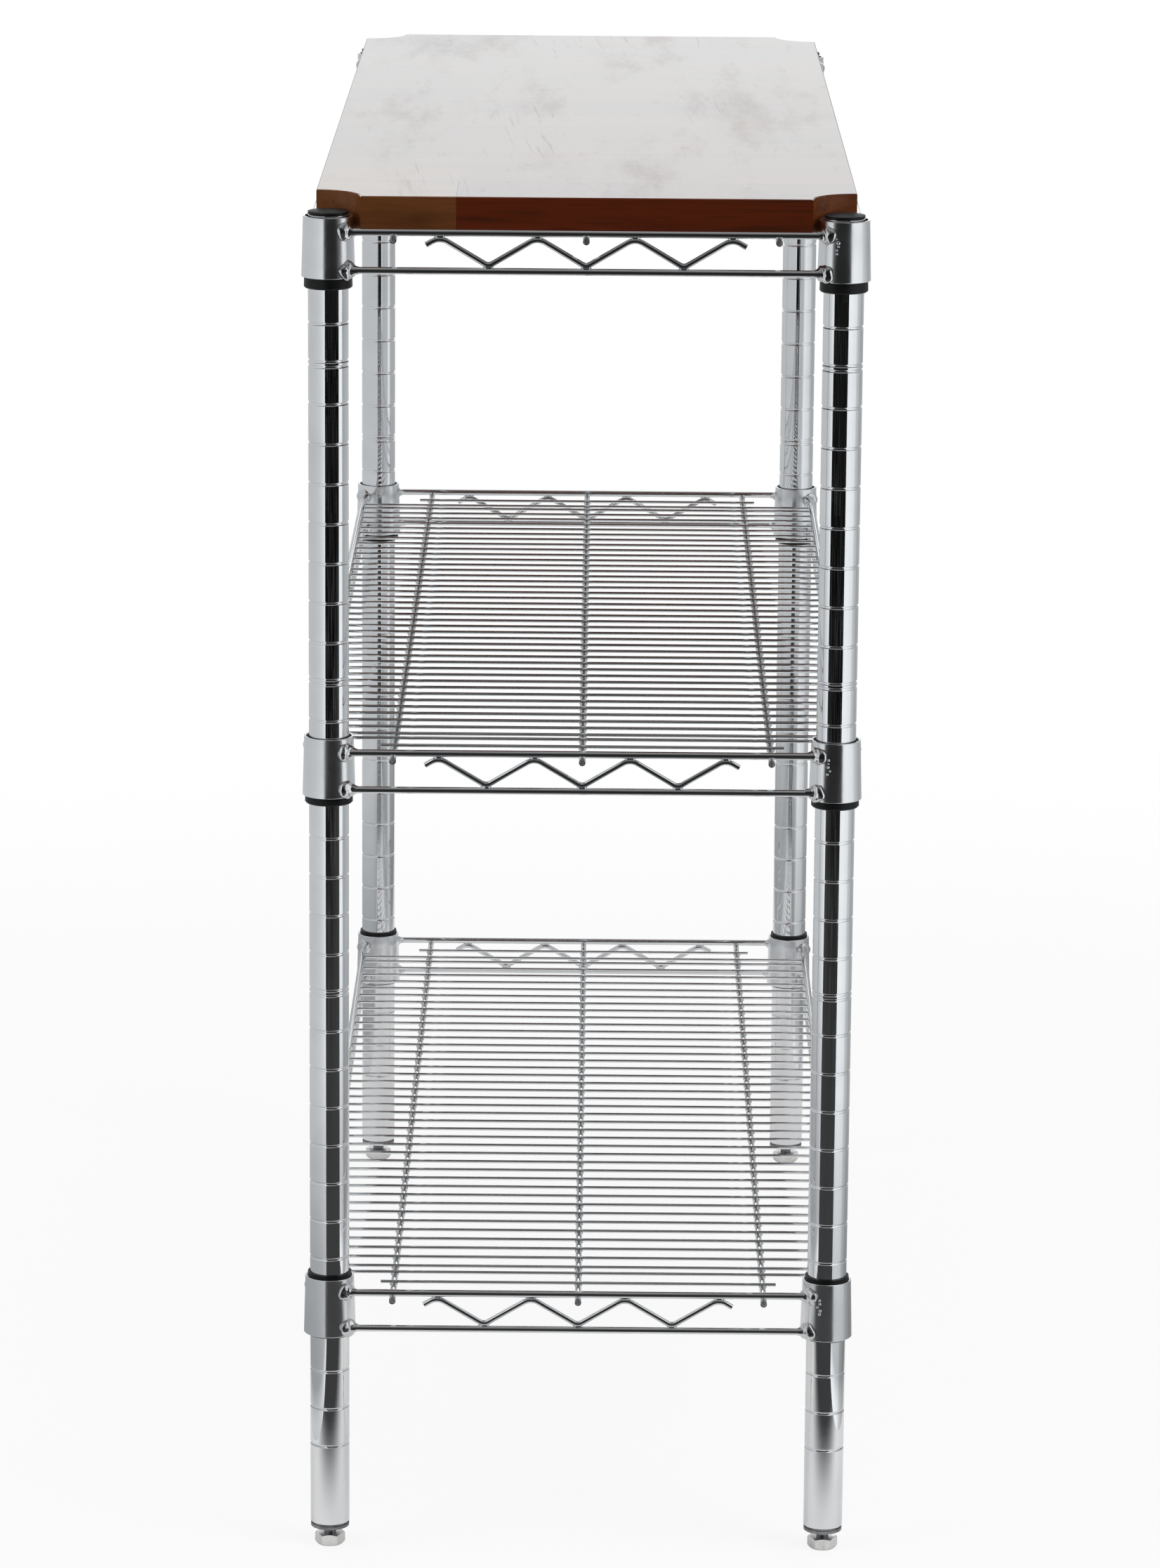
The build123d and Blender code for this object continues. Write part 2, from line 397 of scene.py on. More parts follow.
@dataclass(frozen=True)
class ScuffGroup(EffectGroup):
    """Wiped patches and fine scratches on a worktop."""

    name: str = "worktop_scuffs"
    inlets: tuple[str, ...] = ()
    outlets: tuple[str, ...] = ("Mask",)
    squash: float = 0.16
    slant: float = math.radians(64.0)
    scratch_shape: Triple = (45.0, 420.0, 1.0)
    scratch_weight: float = 0.55
    raggedness: float = 0.66
    patches: Cloud = Cloud(16.0, 9.0, (0.44, 0.72), (0.0, 0.8))
    spots: Cloud = Cloud(70.0, 4.0, (0.58, 0.72), (0.0, 0.35))
    scratches: Cloud = Cloud(1.0, 2.0, (0.58, 0.68))
    scratched: Cloud = Cloud(9.0, 1.0, (0.55, 0.66))

    def effect(self, bench: NodeBench, inlet: bpy.types.Node) -> dict[str, Socket]:
        """Build the patches and the scratches.

        Args:
            bench: the group's bench.
            inlet: the group's input node, which has no sockets.

        Returns:
            The mask.
        """
        along = bench.stretch(bench.place(), (1.0, self.squash, 1.0))
        lean = (0.0, 0.0, self.slant)
        turned = bench.add("ShaderNodeMapping", {"Vector": along, "Rotation": lean})
        thin = bench.stretch(turned.outputs["Vector"], self.scratch_shape)
        broad, spots, lines, where = (
            cloud.mask(bench, vector, roughness=self.raggedness)
            for cloud, vector in (
                (self.patches, along), (self.spots, along),
                (self.scratches, thin), (self.scratched, along),
            )
        )
        scratch = bench.math("MULTIPLY", bench.math("MULTIPLY", lines, where), self.scratch_weight)
        total = bench.math("ADD", bench.math("ADD", broad, spots), scratch)
        return {"Mask": bench.math("MINIMUM", total, 1.0)}


SMUDGES = SmudgeGroup()
SCUFFS = ScuffGroup()


def start_material(name: str) -> tuple[bpy.types.Material, NodeBench, bpy.types.Node]:
    """Make an empty node material.

    Args:
        name: the material's name.

    Returns:
        The material, its bench and its Principled shader.
    """
    material = bpy.data.materials.new(name)
    material.use_nodes = True
    bench = NodeBench(material.node_tree)
    shader = material.node_tree.nodes["Principled BSDF"]
    return material, bench, shader


@dataclass(frozen=True)
class MetalFinish:
    """A plated metal: colour, polish and how uneven both are."""

    name: str
    bright: Colour
    dull: Colour
    polish: float
    haze: float
    mark_scale: float
    ripple: float
    mark_contrast: float = 2.2
    ripple_height: float = 0.2 * MM

    def material(self) -> bpy.types.Material:
        """Build the plated metal.

        Returns:
            The material.
        """
        material, bench, shader = start_material(self.name)
        marks = SMUDGES.use(bench, scale=self.mark_scale, contrast=self.mark_contrast)
        mask = marks.outputs["Mask"]
        bench.feed_all(shader, {
            "Metallic": 1.0,
            "Base Color": bench.blend(mask, self.bright, self.dull),
            "Roughness": bench.ramp(mask, (0.0, 1.0), (self.polish, self.haze)),
            "Normal": bench.bump(marks.outputs["Height"], self.ripple, self.ripple_height),
        })
        return material


@dataclass(frozen=True)
class PlasticFinish:
    """Moulded plastic with a fine grain and dusty handling marks."""

    name: str = "moulded_black"
    colour: Colour = (0.005, 0.005, 0.0055)
    worn: Colour = (0.011, 0.011, 0.012)
    gloss: float = 0.22
    roughness: Span = (0.32, 0.52)
    mark_scale: float = 90.0
    mark_contrast: float = 2.0
    grain_scale: float = 2600.0
    grain_strength: float = 0.25
    grain_height: float = 0.1 * MM

    def material(self) -> bpy.types.Material:
        """Build the moulded plastic.

        Returns:
            The material.
        """
        material, bench, shader = start_material(self.name)
        marks = SMUDGES.use(bench, scale=self.mark_scale, contrast=self.mark_contrast)
        mask = marks.outputs["Mask"]
        grain = bench.noise(bench.place(), self.grain_scale)
        bench.feed_all(shader, {
            "Specular IOR Level": self.gloss,
            "Base Color": bench.blend(mask, self.colour, self.worn),
            "Roughness": bench.ramp(mask, (0.0, 1.0), self.roughness),
            "Normal": bench.bump(grain, self.grain_strength, self.grain_height),
        })
        return material


@dataclass(frozen=True)
class WoodFinish:
    """Stained staves laid across the board under gloss lacquer."""

    name: str = "lacquered_staves"
    red: Colour = (0.120, 0.0190, 0.0042)
    brown: Colour = (0.172, 0.0570, 0.0155)
    dark: Colour = (0.036, 0.0105, 0.0040)
    rows: int = 13
    row_step: float = 7.3
    butt_step: float = 3.1
    joint: float = 81.0 * MM
    end_grain: float = 28.0 * MM
    sawn_brown: float = 0.6
    upward: Span = (0.3, 0.8)
    grain_shape: Triple = (7.0, 120.0, 120.0)
    grain_raggedness: float = 0.62
    grain_distortion: float = 0.5
    pore_shape: Triple = (26.0, 900.0, 900.0)
    streaks: Cloud = Cloud(1.0, 7.0, (0.38, 0.70), (0.0, 0.80))
    mottling: Cloud = Cloud(14.0, 3.0, (0.34, 0.62), (0.25, 1.0))
    pores: Cloud = Cloud(1.0, 3.0, (0.56, 0.72), (0.0, 0.55))
    side_film: float = 0.45
    scuffed_film: float = 0.80
    film_roughness: Span = (0.30, 0.08)
    roughness: Span = (0.34, 0.50)
    mark_scale: float = 40.0
    mark_contrast: float = 2.0
    grain_strength: float = 0.06
    grain_height: float = 0.3 * MM

    def material(self) -> bpy.types.Material:
        """Build the lacquered wood.

        Returns:
            The material.
        """
        material, bench, shader = start_material(self.name)
        place = bench.place()
        parts = bench.split(place)
        butt = bench.math("GREATER_THAN", bench.math("ADD", parts["X"], self.joint), 0.0)
        stave, front = self.staves(bench, parts, butt)
        surface = bench.add("ShaderNodeNewGeometry")
        upward = bench.ramp(bench.split(surface.outputs["Normal"])["Z"], self.upward)
        tone = self.tone(bench, parts, (stave, front, butt), upward)
        grain = self.streaks.value(
            bench, bench.stretch(place, self.grain_shape),
            roughness=self.grain_raggedness, distortion=self.grain_distortion, w=stave,
        )
        streak = bench.ramp(grain, self.streaks.shown, self.streaks.weight)
        mottled = bench.math("MULTIPLY", streak, self.mottling.mask(bench, place, w=stave))
        pores = self.pores.mask(bench, bench.stretch(place, self.pore_shape))
        pored = bench.math("MAXIMUM", mottled, pores)
        worn = bench.ramp(SCUFFS.use(bench).outputs["Mask"], (0.0, 1.0), (1.0, self.scuffed_film))
        film = bench.math("MULTIPLY", bench.ramp(upward, (0.0, 1.0), (self.side_film, 1.0)), worn)
        marks = SMUDGES.use(bench, scale=self.mark_scale, contrast=self.mark_contrast)
        bench.feed_all(shader, {
            "Base Color": bench.blend(pored, tone, self.dark),
            "Specular IOR Level": 0.0,
            "Roughness": bench.ramp(marks.outputs["Mask"], (0.0, 1.0), self.roughness),
            "Coat Weight": film,
            "Coat Roughness": bench.ramp(upward, (0.0, 1.0), self.film_roughness),
            "Normal": bench.bump(grain, self.grain_strength, self.grain_height),
        })
        return material

    def staves(
        self, bench: NodeBench, parts: dict[str, Socket], butt: Socket
    ) -> tuple[Socket, Socket]:
        """Number the staves.

        Args:
            bench: the material's bench.
            parts: the place by axis.
            butt: mask of the staves right of the butt joints.

        Returns:
            A number that differs from stave to stave, and the mask of the front row.
        """
        low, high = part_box("board_end_staves")
        width = (high.y - low.y) / self.rows
        depth = bench.math("SUBTRACT", parts["Y"], low.y)
        row = bench.math("FLOOR", bench.math("DIVIDE", depth, width))
        half = bench.math("MULTIPLY", butt, self.butt_step)
        stave = bench.math("ADD", bench.math("MULTIPLY", row, self.row_step), half)
        return stave, bench.math("LESS_THAN", parts["Y"], low.y + width)

    def tone(
        self, bench: NodeBench, parts: dict[str, Socket],
        staves: tuple[Socket, Socket, Socket], upward: Socket,
    ) -> Socket:
        """Stain the left front stave and the sawn faces brown, the other staves by chance.

        Args:
            bench: the material's bench.
            parts: the place by axis.
            staves: the stave's number, the front row's mask and the mask right of the butt joints.
            upward: mask of the faces that look up.

        Returns:
            The stain's colour.
        """
        stave, front, butt = staves
        dice = bench.add("ShaderNodeTexWhiteNoise", {"W": stave}, noise_dimensions="1D")
        chance = bench.math("MULTIPLY", bench.invert(front), dice.outputs["Value"])
        pale = bench.math("MULTIPLY", front, bench.invert(butt))
        lean = bench.math("MAXIMUM", pale, chance)
        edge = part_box("board_end_staves")[1].x - self.end_grain
        outer = bench.math("GREATER_THAN", bench.math("ABSOLUTE", parts["X"]), edge)
        level = bench.math("MULTIPLY", upward, self.sawn_brown)
        sawn = bench.math("MULTIPLY", outer, bench.math("SUBTRACT", self.sawn_brown, level))
        return bench.blend(bench.math("MAXIMUM", lean, sawn), self.red, self.brown)


@dataclass
class FinishRack:
    """All finishes of the object."""

    chrome: bpy.types.Material = field(init=False)
    collar: bpy.types.Material = field(init=False)
    weld: bpy.types.Material = field(init=False)
    sheared: bpy.types.Material = field(init=False)
    zinc: bpy.types.Material = field(init=False)
    steel: bpy.types.Material = field(init=False)
    plastic: bpy.types.Material = field(init=False)
    wood: bpy.types.Material = field(init=False)

    def __post_init__(self) -> None:
        """Build every material once."""
        self.chrome = MetalFinish(
            "bright_chrome", bright=(0.88, 0.89, 0.90), dull=(0.79, 0.80, 0.82),
            polish=0.018, haze=0.06, mark_scale=24.0, ripple=0.04,
        ).material()
        self.collar = MetalFinish(
            "pressed_chrome", bright=(0.86, 0.87, 0.88), dull=(0.76, 0.77, 0.79),
            polish=0.17, haze=0.27, mark_scale=24.0, ripple=0.12,
        ).material()
        self.sheared = MetalFinish(
            "sheared_wire", bright=(0.62, 0.63, 0.64), dull=(0.44, 0.45, 0.46),
            polish=0.40, haze=0.62, mark_scale=420.0, ripple=0.3,
        ).material()
        self.weld = MetalFinish(
            "plated_weld", bright=(0.84, 0.85, 0.86), dull=(0.62, 0.63, 0.64),
            polish=0.03, haze=0.12, mark_scale=260.0, ripple=0.12,
        ).material()
        self.zinc = MetalFinish(
            "bright_zinc", bright=(0.92, 0.92, 0.91), dull=(0.76, 0.76, 0.75),
            polish=0.16, haze=0.34, mark_scale=120.0, ripple=0.2,
        ).material()
        self.steel = MetalFinish(
            "dull_steel", bright=(0.30, 0.30, 0.31), dull=(0.17, 0.17, 0.18),
            polish=0.20, haze=0.38, mark_scale=160.0, ripple=0.2,
        ).material()
        self.plastic = PlasticFinish().material()
        self.wood = WoodFinish().material()

    def dress_frame(self) -> None:
        """Give every CAD node the finish of its slot, and collars and plugs their own."""
        slots = {
            "chrome": self.chrome, "black_plastic": self.plastic,
            "zinc": self.zinc, "wood": self.wood,
        }
        special = {"collar": self.collar, "plug": self.steel}
        for entry in frame["record"]["subparts"]:
            mesh = frame["nodes"][entry["node"]].data
            mesh.materials.clear()
            kind = entry["node"].rsplit("_", 1)[-1]
            mesh.materials.append(special.get(kind, slots[entry["material_slot"]]))


def add_object(
    name: str, mesh: bmesh.types.BMesh, material: bpy.types.Material
) -> bpy.types.Object:
    """Turn a finished bmesh into an object in the scene.

    Args:
        name: the object's name.
        mesh: the finished bmesh, which is freed.
        material: its finish.

    Returns:
        The new object.
    """
    data = bpy.data.meshes.new(name)
    mesh.to_mesh(data)
    mesh.free()
    data.materials.append(material)
    made = bpy.data.objects.new(name, data)
    bpy.context.scene.collection.objects.link(made)
    return made


def add_piece(
    name: str, mesh: bmesh.types.BMesh, material: bpy.types.Material, body: str
) -> bpy.types.Object:
    """Turn a finished bmesh into a smooth piece of the island.

    Args:
        name: the piece's name.
        mesh: the finished bmesh, which is freed.
        material: its finish.
        body: the CAD body it rides on.

    Returns:
        The new object.
    """
    for face in mesh.faces:
        face.smooth = True
    piece = add_object(name, mesh, material)
    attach(piece, body)
    log.info("%s: %d faces on %s", name, len(piece.data.polygons), body)
    return piece


@dataclass(frozen=True)
class CollarCone:
    """Tapered collar, from the box of its CAD node."""

    low: Vector
    high: Vector
    taper: float = 1.1 * MM

    def at(self, height: float) -> tuple[Vector, float]:
        """Measure the collar at one height.

        Args:
            height: the height above the floor.

        Returns:
            The point on its axis, and its radius there.
        """
        axis = (self.low + self.high) / 2
        axis.z = height
        share = (height - self.low.z) / (self.high.z - self.low.z)
        return axis, (self.high.x - self.low.x) / 2 - self.taper * share


@dataclass(frozen=True)
class ShelfDetail:
    """Small detail that rides on one shelf, made as one piece."""

    shelf: Shelf
    upper_radius: float = 2.3 * MM
    lower_radius: float = 2.2 * MM

    def build(self, rack: FinishRack) -> None:
        """Make the piece.

        Args:
            rack: the finishes.
        """
        raise NotImplementedError

    def hang(self, kind: str, mesh: bmesh.types.BMesh, material: bpy.types.Material) -> None:
        """Hang a finished bmesh on the shelf.

        Args:
            kind: last words of the piece's name.
            mesh: the finished bmesh.
            material: its finish.
        """
        add_piece(f"{self.shelf.value}_{kind}", mesh, material, self.shelf.value)

    def box(self, part: str) -> tuple[Vector, Vector]:
        """Box of one of the shelf's CAD nodes.

        Args:
            part: last words of the node's name.

        Returns:
            The box's low and high corners.
        """
        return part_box(f"{self.shelf.value}_{part}")

    def rod_heights(self) -> tuple[float, float]:
        """Find the rods' axes.

        Returns:
            Heights of the upper and the lower rods' axes.
        """
        low, high = self.box("rods")
        return high.z - self.upper_radius, low.z + self.lower_radius

    def support_wires(self) -> tuple[list[float], float]:
        """Find the lengthwise wires.

        Returns:
            Their places across the shelf and their radius.
        """
        low, high = self.box("support_wires")
        radius = (high.z - low.z) / 2
        side = high.x - radius
        return [-side, 0.0, side], radius

    def collar(self, corner: Corner) -> CollarCone:
        """Find a collar of the shelf.

        Args:
            corner: the collar's corner.

        Returns:
            The collar's cone.
        """
        return CollarCone(*self.box(f"{corner.value}_collar"))


@dataclass(frozen=True)
class CornerPuddles(ShelfDetail):
    """Rippled weld puddles where the rods meet the collars."""

    rod_outset: float = 11.1 * MM
    width: float = 6.6 * MM
    rise: float = 3.2 * MM
    height: float = 5.9 * MM
    neck: float = 5.0 * MM
    neck_sharpness: int = 9
    lump: float = 0.17
    lump_scale: float = 1.1
    fine_lump: float = 0.2
    fine_scale: float = 2.7
    ripple: float = 0.045
    ripple_rings: float = 9.0
    ripple_stray: float = 4.0
    ripple_scale: float = 0.8
    spot_spread: float = 310.0

    def build(self, rack: FinishRack) -> None:
        """Make four puddles on each collar.

        Args:
            rack: the finishes.
        """
        mesh = bmesh.new()
        heights = self.rod_heights()
        for corner in Corner:
            cone = self.collar(corner)
            for height in heights:
                axis, radius = cone.at(height)
                inward = (
                    Vector((-math.copysign(1, axis.x), 0, 0)),
                    Vector((0, -math.copysign(1, axis.y), 0)),
                )
                run = math.sqrt(radius**2 - self.rod_outset**2)
                for along, across in (inward, inward[::-1]):
                    reach = along * run - across * self.rod_outset
                    self.add_puddle(mesh, axis + reach, along, reach.normalized())
        self.hang("corner_welds", mesh, rack.weld)

    def add_puddle(
        self, mesh: bmesh.types.BMesh, place: Vector, along: Vector, normal: Vector
    ) -> None:
        """Add one puddle with a neck round the rod, inside the CAD's box.

        Args:
            mesh: the bmesh to add to.
            place: where the rod's axis meets the collar.
            along: direction of the rod away from the collar.
            normal: the collar's outward direction there.
        """
        ball = bmesh.ops.create_icosphere(mesh, subdivisions=4, radius=1.0)
        tangent = UP.cross(normal)
        low, high = CAD_BOX
        for vert in ball["verts"]:
            way = vert.co.normalized()
            ahead = max(0.0, way.dot(along))
            reach = 1.0 / math.sqrt(
                (way.dot(tangent) / self.width) ** 2
                + (way.dot(normal) / self.rise) ** 2
                + (way.z / self.height) ** 2
            )
            reach += self.neck * ahead**self.neck_sharpness
            spot = way * self.lump_scale + place * self.spot_spread
            uneven = noise.noise(spot) + self.fine_lump * noise.noise(spot * self.fine_scale)
            rings = self.ripple_rings * math.acos(min(1.0, ahead))
            rings += self.ripple_stray * noise.noise(spot * self.ripple_scale)
            reach *= 1.0 + self.lump * uneven + self.ripple * math.sin(rings)
            vert.co = place + way * reach
            for axis in range(2):
                vert.co[axis] = max(low[axis], min(high[axis], vert.co[axis]))


@dataclass(frozen=True)
class ZigzagNuggets(ShelfDetail):
    """Small flat welds at the bends of the zigzag wires."""

    wave: float = 60.8 * MM
    end_waves: int = 3
    side_waves: int = 13
    half_length: float = 3.4 * MM
    half_width: float = 1.7 * MM
    half_height: float = 1.2 * MM
    lump: float = 0.35
    lump_scale: float = 1.7
    spot_spread: float = 270.0

    def build(self, rack: FinishRack) -> None:
        """Make a nugget at every bend of the four zigzags.

        Args:
            rack: the finishes.
        """
        mesh = bmesh.new()
        edge = self.box("rods")[1] - Vector((1, 1, 0)) * self.upper_radius
        upper, lower = self.rod_heights()
        for sign in (-1, 1):
            for waves, run, start in (
                (self.end_waves, Vector((1, 0, 0)), Vector((0, sign * edge.y, 0))),
                (self.side_waves, Vector((0, 1, 0)), Vector((sign * edge.x, 0, 0))),
            ):
                for step in range(2 * waves + 1):
                    crest = step % 2 == 0
                    height = upper - self.upper_radius if crest else lower + self.lower_radius
                    travel = (step - waves) * self.wave / 2
                    self.add_nugget(mesh, start + run * travel + UP * height, run)
        self.hang("zigzag_welds", mesh, rack.weld)

    def add_nugget(self, mesh: bmesh.types.BMesh, place: Vector, run: Vector) -> None:
        """Add one nugget.

        Args:
            mesh: the bmesh to add to.
            place: its middle.
            run: the direction it is long in.
        """
        ball = bmesh.ops.create_uvsphere(mesh, u_segments=10, v_segments=6, radius=1.0)
        out = Vector((run.y, run.x, 0))
        for vert in ball["verts"]:
            spot = vert.co * self.lump_scale + place * self.spot_spread
            co = vert.co * (1.0 + self.lump * noise.noise(spot))
            vert.co = (
                place
                + run * co.x * self.half_length
                + out * co.y * self.half_width
                + UP * co.z * self.half_height
            )


@dataclass(frozen=True)
class CutEnds(ShelfDetail):
    """Sheared ends of the lengthwise wires, which sag like drops."""

    inset: float = 0.6 * MM
    sag: float = 0.6 * MM
    dome: float = 1.2 * MM
    flat: float = 0.7 * MM
    size: float = 0.97
    lump: float = 0.24
    lump_scale: float = 1.8
    spot_spread: float = 240.0

    def build(self, rack: FinishRack) -> None:
        """Make both ends of every lengthwise wire.

        Args:
            rack: the finishes.
        """
        mesh = bmesh.new()
        low, high = self.box("support_wires")
        height = (low.z + high.z) / 2
        places, radius = self.support_wires()
        for across in places:
            for end in (low.y + self.inset, high.y - self.inset):
                place = Vector((across, end, height))
                ball = bmesh.ops.create_icosphere(mesh, subdivisions=3, radius=1.0)
                for vert in ball["verts"]:
                    spot = vert.co * self.lump_scale + place * self.spot_spread
                    co = vert.co * min(1.0, self.size + self.lump * noise.noise(spot))
                    depth = max(-self.flat, min(self.flat, co.y * self.dome))
                    drop = co.z * (radius + self.sag) + self.sag
                    vert.co = place + Vector((co.x * radius, depth, drop))
        self.hang("cut_ends", mesh, rack.sheared)


@dataclass(frozen=True)
class CrossingWelds(ShelfDetail):
    """Four-cornered welds of the cross wires on the lengthwise wires."""

    half_width: float = 3.9 * MM
    half_length: float = 3.2 * MM
    half_height: float = 1.1 * MM
    body: float = 0.80
    lobes: int = 4
    lobe: float = 0.20
    lump: float = 0.15
    spot_spread: float = 190.0
    wire_gap: float = 4.0 * MM

    def wire_places(self) -> list[float]:
        """Read the cross wires' mesh.

        Returns:
            The cross wires' places along Y.
        """
        wires = frame["nodes"][f"{self.shelf.value}_cross_wires"]
        spots = sorted((wires.matrix_world @ vert.co).y for vert in wires.data.vertices)
        groups = [[spots[0]]]
        for spot in spots[1:]:
            if spot - groups[-1][-1] > self.wire_gap:
                groups.append([])
            groups[-1].append(spot)
        return [(group[0] + group[-1]) / 2 for group in groups]

    def build(self, rack: FinishRack) -> None:
        """Make a weld at every crossing.

        Args:
            rack: the finishes.
        """
        mesh = bmesh.new()
        height = self.box("support_wires")[1].z
        places, _ = self.support_wires()
        size = Vector((self.half_width, self.half_length, self.half_height))
        for along in self.wire_places():
            for across in places:
                place = Vector((across, along, height))
                star = bmesh.ops.create_uvsphere(mesh, u_segments=8, v_segments=4, radius=1.0)
                for vert in star["verts"]:
                    turn = math.atan2(vert.co.y, vert.co.x)
                    reach = self.body - self.lobe * math.cos(self.lobes * turn)
                    reach += self.lump * noise.noise(vert.co + place * self.spot_spread)
                    vert.co = place + vert.co * size * Vector((reach, reach, 1.0))
        self.hang("crossing_welds", mesh, rack.weld)


@dataclass(frozen=True)
class WeldSpatter(ShelfDetail):
    """Trail of small beads under the upper weld of the right front collar."""

    beads: int = 5
    size: float = 1.0 * MM
    size_range: float = 0.7
    start: float = 1.5 * MM
    step: float = 2.3 * MM
    turn: float = -108.0
    stray: float = 9.0
    spot_step: float = 1.7
    spot_spread: float = 90.0
    spot_shift: float = 0.3
    size_scale: float = 1.9

    def build(self, rack: FinishRack) -> None:
        """Make the beads.

        Args:
            rack: the finishes.
        """
        mesh = bmesh.new()
        top = self.rod_heights()[0] - self.start
        cone = self.collar(Corner.FRONT_RIGHT)
        for bead in range(self.beads):
            height = top - bead * self.step
            axis, radius = cone.at(height)
            spot = Vector((bead * self.spot_step, height * self.spot_spread, self.spot_shift))
            turn = math.radians(self.turn + self.stray * noise.noise(spot))
            size = self.size * (1.0 + self.size_range * noise.noise(spot * self.size_scale))
            ball = bmesh.ops.create_icosphere(mesh, subdivisions=2, radius=size)
            place = axis + Vector((math.cos(turn), math.sin(turn), 0.0)) * radius
            bmesh.ops.translate(mesh, verts=ball["verts"], vec=place)
        self.hang("weld_spatter", mesh, rack.weld)


SHELF_DETAILS = (CornerPuddles, ZigzagNuggets, CutEnds, CrossingWelds, WeldSpatter)


@dataclass(frozen=True)
class ThreadedStud:
    """Screw thread of one levelling foot, in place of the plain stud."""

    corner: Corner
    pitch: float = 1.5875 * MM
    depth: float = 0.85 * MM
    root_sink: float = 0.2 * MM
    root_share: float = 0.46
    crest_inset: float = 0.05 * MM
    crest_half: float = 0.1 * MM
    seat_gap: float = 0.05 * MM
    plain_turns: int = 2
    core_sides: int = 32
    steps: int = 24

    def build(self, rack: FinishRack) -> None:
        """Make the core and the ridge wound round it.

        Args:
            rack: the finishes.
        """
        node = f"{self.corner.value}_foot_stud"
        low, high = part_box(node)
        low.z += self.seat_gap
        axis = (low + high) / 2
        length = high.z - low.z
        radius = (high.x - low.x) / 2
        core = radius - self.depth
        mesh = bmesh.new()
        bmesh.ops.create_cone(
            mesh, cap_ends=True, segments=self.core_sides,
            radius1=core, radius2=core, depth=length,
        )
        bmesh.ops.translate(mesh, verts=mesh.verts, vec=axis)
        foot = Vector((axis.x, axis.y, low.z + self.pitch))
        self.wind_ridge(mesh, foot, (core - self.root_sink, radius - self.crest_inset), length)
        bmesh.ops.recalc_face_normals(mesh, faces=mesh.faces)
        piece = add_piece(
            f"{self.corner.value}_threaded_stud", mesh, rack.steel,
            f"{self.corner.value}_stud",
        )
        piece.data.shade_flat()
        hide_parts(node)

    def wind_ridge(
        self, mesh: bmesh.types.BMesh, foot: Vector, radii: Span, length: float
    ) -> None:
        """Wind the thread's ridge up the core.

        Args:
            mesh: the bmesh to add to.
            foot: the point on the axis where the ridge starts.
            radii: radius of the ridge's root and of its crest.
            length: the stud's length.
        """
        root, crest = radii
        half = self.pitch * self.root_share
        outline = (
            (root, 0, -half),
            (crest, 0, -self.crest_half),
            (crest, 0, self.crest_half),
            (root, 0, half),
        )
        ring = [mesh.verts.new(foot + Vector(at)) for at in outline]
        edges = [mesh.edges.new(pair) for pair in zip(ring, ring[1:] + ring[:1])]
        turns = int(length / self.pitch) - self.plain_turns
        bmesh.ops.spin(
            mesh, geom=ring + edges, cent=foot, axis=UP, angle=2 * math.pi * turns,
            steps=self.steps * turns, dvec=UP * (self.pitch / self.steps), use_merge=False,
        )
        ends = [edge for edge in mesh.edges if edge.is_boundary]
        bmesh.ops.holes_fill(mesh, edges=ends, sides=len(ring))


@dataclass(frozen=True)
class PaleFloor:
    """Pale floor that keeps the island's shadow. The chrome finds painted shade on it from soon in
    front.
    """

    half_size: float = 12.0
    pale: Colour = (0.90, 0.885, 0.875)
    # Painted shade colours, which every ray but the camera's finds in front of the island.
    dim: Colour = (0.055, 0.055, 0.055)
    deep: Colour = (0.004, 0.004, 0.004)
    patch: Colour = (0.060, 0.060, 0.060)
    patches: Cloud = Cloud(3.2, 2.0, (0.45, 0.70))
    roughness: float = 0.9
    near: Span = (-0.485, -0.72)
    far: Span = (-0.9, -3.0)
    veil_reach: Span = (0.8, 2.0)
    veil: Span = (0.85, 1.0)

    def build(self) -> None:
        """Lay the floor."""
        mesh = bmesh.new()
        bmesh.ops.create_grid(mesh, x_segments=1, y_segments=1, size=self.half_size)
        floor = add_object("floor", mesh, self.material())

    def material(self) -> bpy.types.Material:
        """Build the floor's finish, with painted shade in front and a white veil that only the
        camera sees.

        Returns:
            The material.
        """
        material, bench, shader = start_material("pale_floor")
        place = bench.place()
        along = bench.split(place)["Y"]
        seen = bench.add("ShaderNodeLightPath").outputs["Is Camera Ray"]
        # Painted shade: in front, rays other than the camera's find the floor dim, then near black
        # with patches.
        painted_shade_mask = bench.math("MULTIPLY", bench.ramp(along, self.near), bench.invert(seen))
        deep = bench.blend(self.patches.mask(bench, place), self.deep, self.patch)
        shade = bench.blend(bench.ramp(along, self.far), self.dim, deep)
        bench.feed_all(shader, {
            "Base Color": bench.blend(painted_shade_mask, self.pale, shade),
            "Roughness": self.roughness,
            "Specular IOR Level": 0.0,
        })
        glow = bench.add("ShaderNodeEmission", {"Color": WHITE, "Strength": 1.0})
        away = bench.add("ShaderNodeVectorMath", {"Vector": place}, operation="LENGTH")
        haze = bench.ramp(away.outputs["Value"], self.veil_reach, self.veil)
        veil = bench.math("MULTIPLY", seen, haze)
        mix = bench.add("ShaderNodeMixShader", {"Fac": veil})
        bench.feed(mix.inputs[1], shader.outputs["BSDF"])
        bench.feed(mix.inputs[2], glow.outputs["Emission"])
        outlet = material.node_tree.nodes["Material Output"]
        bench.feed_all(outlet, {"Surface": mix.outputs["Shader"]})
        return material


